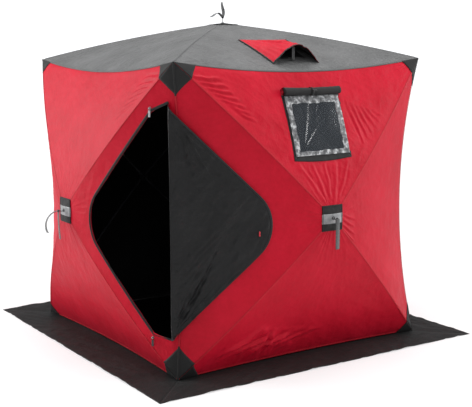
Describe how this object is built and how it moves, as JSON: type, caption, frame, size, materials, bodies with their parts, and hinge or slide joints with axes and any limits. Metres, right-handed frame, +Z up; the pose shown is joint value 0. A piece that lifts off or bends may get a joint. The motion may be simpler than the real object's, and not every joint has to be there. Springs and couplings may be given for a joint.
{
  "type": "ice fishing shelter",
  "caption": "Square pop-up hub shelter for ice fishing: fabric walls and roof on sprung poles, folded-back half-diamond door, clear window, hooded roof vent and ground skirt.",
  "frame": {"origin": "on the ground under the middle of the cabin", "axes": "+Z up, front wall with the window towards -Y, door opening in the left wall (-X) by the front-left corner"},
  "size_m": [2.5894, 2.43, 2.167],
  "materials": {
    "red_cloth": "coated polyester, slight sheen",
    "grey_cloth": "coated polyester, slight sheen",
    "skirt_cloth": "matt coated polyester",
    "black_cloth": "coated polyester",
    "patch_cloth": "coated polyester with a grey reflective band",
    "lining_cloth": "black coated lining, red outside",
    "mesh": "open net",
    "clear_film": "clear vinyl film",
    "webbing": "woven webbing",
    "fibreglass": "black fibreglass rod",
    "nylon": "moulded nylon",
    "steel": "plain",
    "zip_metal": "cast metal",
    "zip_pull": "cast metal grip",
    "zip_tape": "woven tape with coil teeth",
    "toggle": "moulded",
    "prop": "stiff strip"
  },
  "bodies": {
    "root": {"front_wall": "red_cloth", "right_wall": "red_cloth", "back_wall": "red_cloth", "left_wall": "red_cloth", "roof": "grey_cloth", "snow_skirt": "skirt_cloth", "corner_patches": "black_cloth", "door_zip": "zip_tape", "tie_toggles": "toggle", "window_frame": "black_cloth", "window_film": "clear_film", "window_cover": "black_cloth", "vent_mesh": "mesh", "vent_hood": "red_cloth"},
    "front_hub": {"front_hub": "nylon", "front_hub_pins": "steel", "front_hub_patch": "patch_cloth"},
    "front_pole_upper_left": {"front_pole_upper_left": "fibreglass"},
    "front_pole_upper_right": {"front_pole_upper_right": "fibreglass"},
    "front_pole_lower_left": {"front_pole_lower_left": "fibreglass"},
    "front_pole_lower_right": {"front_pole_lower_right": "fibreglass"},
    "front_strap": {"front_pull_strap": "webbing"},
    "right_hub": {"right_hub": "nylon", "right_hub_pins": "steel", "right_hub_patch": "patch_cloth"},
    "right_pole_upper_left": {"right_pole_upper_left": "fibreglass"},
    "right_pole_upper_right": {"right_pole_upper_right": "fibreglass"},
    "right_pole_lower_left": {"right_pole_lower_left": "fibreglass"},
    "right_pole_lower_right": {"right_pole_lower_right": "fibreglass"},
    "right_strap": {"right_pull_strap": "webbing"},
    "back_hub": {"back_hub": "nylon", "back_hub_pins": "steel", "back_hub_patch": "patch_cloth"},
    "back_pole_upper_left": {"back_pole_upper_left": "fibreglass"},
    "back_pole_upper_right": {"back_pole_upper_right": "fibreglass"},
    "back_pole_lower_left": {"back_pole_lower_left": "fibreglass"},
    "back_pole_lower_right": {"back_pole_lower_right": "fibreglass"},
    "back_strap": {"back_pull_strap": "webbing"},
    "left_hub": {"left_hub": "nylon", "left_hub_pins": "steel", "left_hub_patch": "patch_cloth"},
    "left_pole_upper_left": {"left_pole_upper_left": "fibreglass"},
    "left_pole_upper_right": {"left_pole_upper_right": "fibreglass"},
    "left_pole_lower_left": {"left_pole_lower_left": "fibreglass"},
    "left_pole_lower_right": {"left_pole_lower_right": "fibreglass"},
    "left_strap": {"left_pull_strap": "webbing"},
    "roof_hub": {"roof_hub": "nylon", "roof_hub_pins": "steel", "roof_hub_patch": "patch_cloth"},
    "roof_pole_upper_left": {"roof_pole_upper_left": "fibreglass"},
    "roof_pole_upper_right": {"roof_pole_upper_right": "fibreglass"},
    "roof_pole_lower_left": {"roof_pole_lower_left": "fibreglass"},
    "roof_pole_lower_right": {"roof_pole_lower_right": "fibreglass"},
    "roof_strap": {"roof_pull_strap": "webbing"},
    "door": {"door_leaf": "lining_cloth"},
    "zip_slider_top": {"zip_slider_top": "zip_metal"},
    "zip_pull_top": {"zip_pull_top": "zip_pull"},
    "zip_slider_bottom": {"zip_slider_bottom": "zip_metal"},
    "zip_pull_bottom": {"zip_pull_bottom": "zip_pull"},
    "prop": {"vent_prop": "prop"}
  },
  "joints": [
    {"name": "front_hub_pop", "type": "slide", "parent": "root", "child": "front_hub", "axis": [0, 1, 0], "range_m": [0, 0.4853], "deforming": ["front_wall", "right_wall", "back_wall", "left_wall", "roof", "corner_patches", "front_hub_patch", "window_frame", "window_film", "window_cover", "tie_toggles"]},
    {"name": "front_pole_upper_left_pivot", "type": "hinge", "parent": "front_hub", "child": "front_pole_upper_left", "pos_m": [-0.01899, -1.148, 0.9092], "axis": [0.711, 0, 0.7032], "range_deg": [0, 22.97]},
    {"name": "front_pole_upper_right_pivot", "type": "hinge", "parent": "front_hub", "child": "front_pole_upper_right", "pos_m": [0.01899, -1.148, 0.9092], "axis": [0.711, 0, -0.7032], "range_deg": [0, 22.97]},
    {"name": "front_pole_lower_left_pivot", "type": "hinge", "parent": "front_hub", "child": "front_pole_lower_left", "pos_m": [-0.01928, -1.148, 0.8711], "axis": [-0.6999, 0, 0.7142], "range_deg": [0, 23.32]},
    {"name": "front_pole_lower_right_pivot", "type": "hinge", "parent": "front_hub", "child": "front_pole_lower_right", "pos_m": [0.01928, -1.148, 0.8711], "axis": [-0.6999, 0, -0.7142], "range_deg": [0, 23.32]},
    {"name": "front_strap_swing", "type": "hinge", "parent": "front_hub", "child": "front_strap", "pos_m": [0, -1.176, 0.89], "axis": [-1, 0, 0], "range_deg": [0, 85]},
    {"name": "right_hub_pop", "type": "slide", "parent": "root", "child": "right_hub", "axis": [-1, 0, 0], "range_m": [0, 0.4853], "deforming": ["front_wall", "right_wall", "back_wall", "left_wall", "roof", "corner_patches", "right_hub_patch"]},
    {"name": "right_pole_upper_left_pivot", "type": "hinge", "parent": "right_hub", "child": "right_pole_upper_left", "pos_m": [1.148, -0.01899, 0.9092], "axis": [0, 0.711, 0.7032], "range_deg": [0, 22.97]},
    {"name": "right_pole_upper_right_pivot", "type": "hinge", "parent": "right_hub", "child": "right_pole_upper_right", "pos_m": [1.148, 0.01899, 0.9092], "axis": [0, 0.711, -0.7032], "range_deg": [0, 22.97]},
    {"name": "right_pole_lower_left_pivot", "type": "hinge", "parent": "right_hub", "child": "right_pole_lower_left", "pos_m": [1.148, -0.01928, 0.8711], "axis": [0, -0.6999, 0.7142], "range_deg": [0, 23.32]},
    {"name": "right_pole_lower_right_pivot", "type": "hinge", "parent": "right_hub", "child": "right_pole_lower_right", "pos_m": [1.148, 0.01928, 0.8711], "axis": [0, -0.6999, -0.7142], "range_deg": [0, 23.32]},
    {"name": "right_strap_swing", "type": "hinge", "parent": "right_hub", "child": "right_strap", "pos_m": [1.176, 0, 0.89], "axis": [0, -1, 0], "range_deg": [0, 85]},
    {"name": "back_hub_pop", "type": "slide", "parent": "root", "child": "back_hub", "axis": [0, -1, 0], "range_m": [0, 0.4853], "deforming": ["front_wall", "right_wall", "back_wall", "left_wall", "roof", "corner_patches", "back_hub_patch"]},
    {"name": "back_pole_upper_left_pivot", "type": "hinge", "parent": "back_hub", "child": "back_pole_upper_left", "pos_m": [0.01899, 1.148, 0.9092], "axis": [-0.711, 0, 0.7032], "range_deg": [0, 22.97]},
    {"name": "back_pole_upper_right_pivot", "type": "hinge", "parent": "back_hub", "child": "back_pole_upper_right", "pos_m": [-0.01899, 1.148, 0.9092], "axis": [-0.711, 0, -0.7032], "range_deg": [0, 22.97]},
    {"name": "back_pole_lower_left_pivot", "type": "hinge", "parent": "back_hub", "child": "back_pole_lower_left", "pos_m": [0.01928, 1.148, 0.8711], "axis": [0.6999, 0, 0.7142], "range_deg": [0, 23.32]},
    {"name": "back_pole_lower_right_pivot", "type": "hinge", "parent": "back_hub", "child": "back_pole_lower_right", "pos_m": [-0.01928, 1.148, 0.8711], "axis": [0.6999, 0, -0.7142], "range_deg": [0, 23.32]},
    {"name": "back_strap_swing", "type": "hinge", "parent": "back_hub", "child": "back_strap", "pos_m": [0, 1.176, 0.89], "axis": [1, 0, 0], "range_deg": [0, 85]},
    {"name": "left_hub_pop", "type": "slide", "parent": "root", "child": "left_hub", "axis": [1, 0, 0], "range_m": [0, 0.4853], "deforming": ["front_wall", "right_wall", "back_wall", "left_wall", "roof", "corner_patches", "left_hub_patch", "door_zip"]},
    {"name": "left_pole_upper_left_pivot", "type": "hinge", "parent": "left_hub", "child": "left_pole_upper_left", "pos_m": [-1.148, 0.01899, 0.9092], "axis": [0, -0.711, 0.7032], "range_deg": [0, 22.97]},
    {"name": "left_pole_upper_right_pivot", "type": "hinge", "parent": "left_hub", "child": "left_pole_upper_right", "pos_m": [-1.148, -0.01899, 0.9092], "axis": [0, -0.711, -0.7032], "range_deg": [0, 22.97]},
    {"name": "left_pole_lower_left_pivot", "type": "hinge", "parent": "left_hub", "child": "left_pole_lower_left", "pos_m": [-1.148, 0.01928, 0.8711], "axis": [0, 0.6999, 0.7142], "range_deg": [0, 23.32]},
    {"name": "left_pole_lower_right_pivot", "type": "hinge", "parent": "left_hub", "child": "left_pole_lower_right", "pos_m": [-1.148, -0.01928, 0.8711], "axis": [0, 0.6999, -0.7142], "range_deg": [0, 23.32]},
    {"name": "left_strap_swing", "type": "hinge", "parent": "left_hub", "child": "left_strap", "pos_m": [-1.176, 0, 0.89], "axis": [0, 1, 0], "range_deg": [0, 85]},
    {"name": "roof_hub_pop", "type": "slide", "parent": "root", "child": "roof_hub", "axis": [0, 0, -1], "range_m": [0, 0.4144], "deforming": ["front_wall", "right_wall", "back_wall", "left_wall", "roof", "corner_patches", "roof_hub_patch", "vent_mesh", "vent_hood"]},
    {"name": "roof_pole_upper_left_pivot", "type": "hinge", "parent": "roof_hub", "child": "roof_pole_upper_left", "pos_m": [-0.01909, 0.01909, 2.008], "axis": [0.7071, 0.7071, 0], "range_deg": [0, 19.79]},
    {"name": "roof_pole_upper_right_pivot", "type": "hinge", "parent": "roof_hub", "child": "roof_pole_upper_right", "pos_m": [0.01909, 0.01909, 2.008], "axis": [0.7071, -0.7071, 0], "range_deg": [0, 19.79]},
    {"name": "roof_pole_lower_left_pivot", "type": "hinge", "parent": "roof_hub", "child": "roof_pole_lower_left", "pos_m": [-0.01909, -0.01909, 2.008], "axis": [-0.7071, 0.7071, 0], "range_deg": [0, 19.79]},
    {"name": "roof_pole_lower_right_pivot", "type": "hinge", "parent": "roof_hub", "child": "roof_pole_lower_right", "pos_m": [0.01909, -0.01909, 2.008], "axis": [-0.7071, -0.7071, 0], "range_deg": [0, 19.79]},
    {"name": "roof_strap_swing", "type": "hinge", "parent": "roof_hub", "child": "roof_strap", "pos_m": [0, 0, 2.036], "axis": [0, 1, 0], "range_deg": [-20, 75]},
    {"name": "door_swing", "type": "hinge", "parent": "root", "child": "door", "pos_m": [-0.93, -0.846, 0.9], "axis": [0, 0, 1], "range_deg": [-224.7, 0]},
    {"name": "zip_slide_top", "type": "slide", "parent": "root", "child": "zip_slider_top", "axis": [-0.2326, 0.6232, -0.7466], "range_m": [0, 0.22]},
    {"name": "zip_pull_top_swing", "type": "hinge", "parent": "zip_slider_top", "child": "zip_pull_top", "pos_m": [-0.97159, -0.74937, 1.54475], "axis": [-0.3165, 0.9486, 0], "range_deg": [0, 90]},
    {"name": "zip_slide_bottom", "type": "slide", "parent": "root", "child": "zip_slider_bottom", "axis": [-0.2413, 0.6534, 0.7175], "range_m": [0, 0.22]},
    {"name": "zip_pull_bottom_swing", "type": "hinge", "parent": "zip_slider_bottom", "child": "zip_pull_bottom", "pos_m": [-0.97664, -0.7494, 0.23174], "axis": [-0.3175, 0.9482, 0], "range_deg": [0, 90]},
    {"name": "vent_prop_fold", "type": "hinge", "parent": "root", "child": "prop", "pos_m": [-0.01, -0.79, 1.79562], "axis": [-1, 0, 0], "range_deg": [0, 62], "deforming": ["vent_hood"]}
  ],
  "couplings": [
    {"joint": "front_pole_upper_left_pivot", "follows": "front_hub_pop", "rad_per_m": 0.82544},
    {"joint": "front_pole_upper_right_pivot", "follows": "front_hub_pop", "rad_per_m": 0.82544},
    {"joint": "front_pole_lower_left_pivot", "follows": "front_hub_pop", "rad_per_m": 0.83832},
    {"joint": "front_pole_lower_right_pivot", "follows": "front_hub_pop", "rad_per_m": 0.83832},
    {"joint": "right_pole_upper_left_pivot", "follows": "right_hub_pop", "rad_per_m": 0.82544},
    {"joint": "right_pole_upper_right_pivot", "follows": "right_hub_pop", "rad_per_m": 0.82544},
    {"joint": "right_pole_lower_left_pivot", "follows": "right_hub_pop", "rad_per_m": 0.83832},
    {"joint": "right_pole_lower_right_pivot", "follows": "right_hub_pop", "rad_per_m": 0.83832},
    {"joint": "back_pole_upper_left_pivot", "follows": "back_hub_pop", "rad_per_m": 0.82544},
    {"joint": "back_pole_upper_right_pivot", "follows": "back_hub_pop", "rad_per_m": 0.82544},
    {"joint": "back_pole_lower_left_pivot", "follows": "back_hub_pop", "rad_per_m": 0.83832},
    {"joint": "back_pole_lower_right_pivot", "follows": "back_hub_pop", "rad_per_m": 0.83832},
    {"joint": "left_pole_upper_left_pivot", "follows": "left_hub_pop", "rad_per_m": 0.82544},
    {"joint": "left_pole_upper_right_pivot", "follows": "left_hub_pop", "rad_per_m": 0.82544},
    {"joint": "left_pole_lower_left_pivot", "follows": "left_hub_pop", "rad_per_m": 0.83832},
    {"joint": "left_pole_lower_right_pivot", "follows": "left_hub_pop", "rad_per_m": 0.83832},
    {"joint": "roof_pole_upper_left_pivot", "follows": "roof_hub_pop", "rad_per_m": 0.83306},
    {"joint": "roof_pole_upper_right_pivot", "follows": "roof_hub_pop", "rad_per_m": 0.83306},
    {"joint": "roof_pole_lower_left_pivot", "follows": "roof_hub_pop", "rad_per_m": 0.83306},
    {"joint": "roof_pole_lower_right_pivot", "follows": "roof_hub_pop", "rad_per_m": 0.83306}
  ]
}
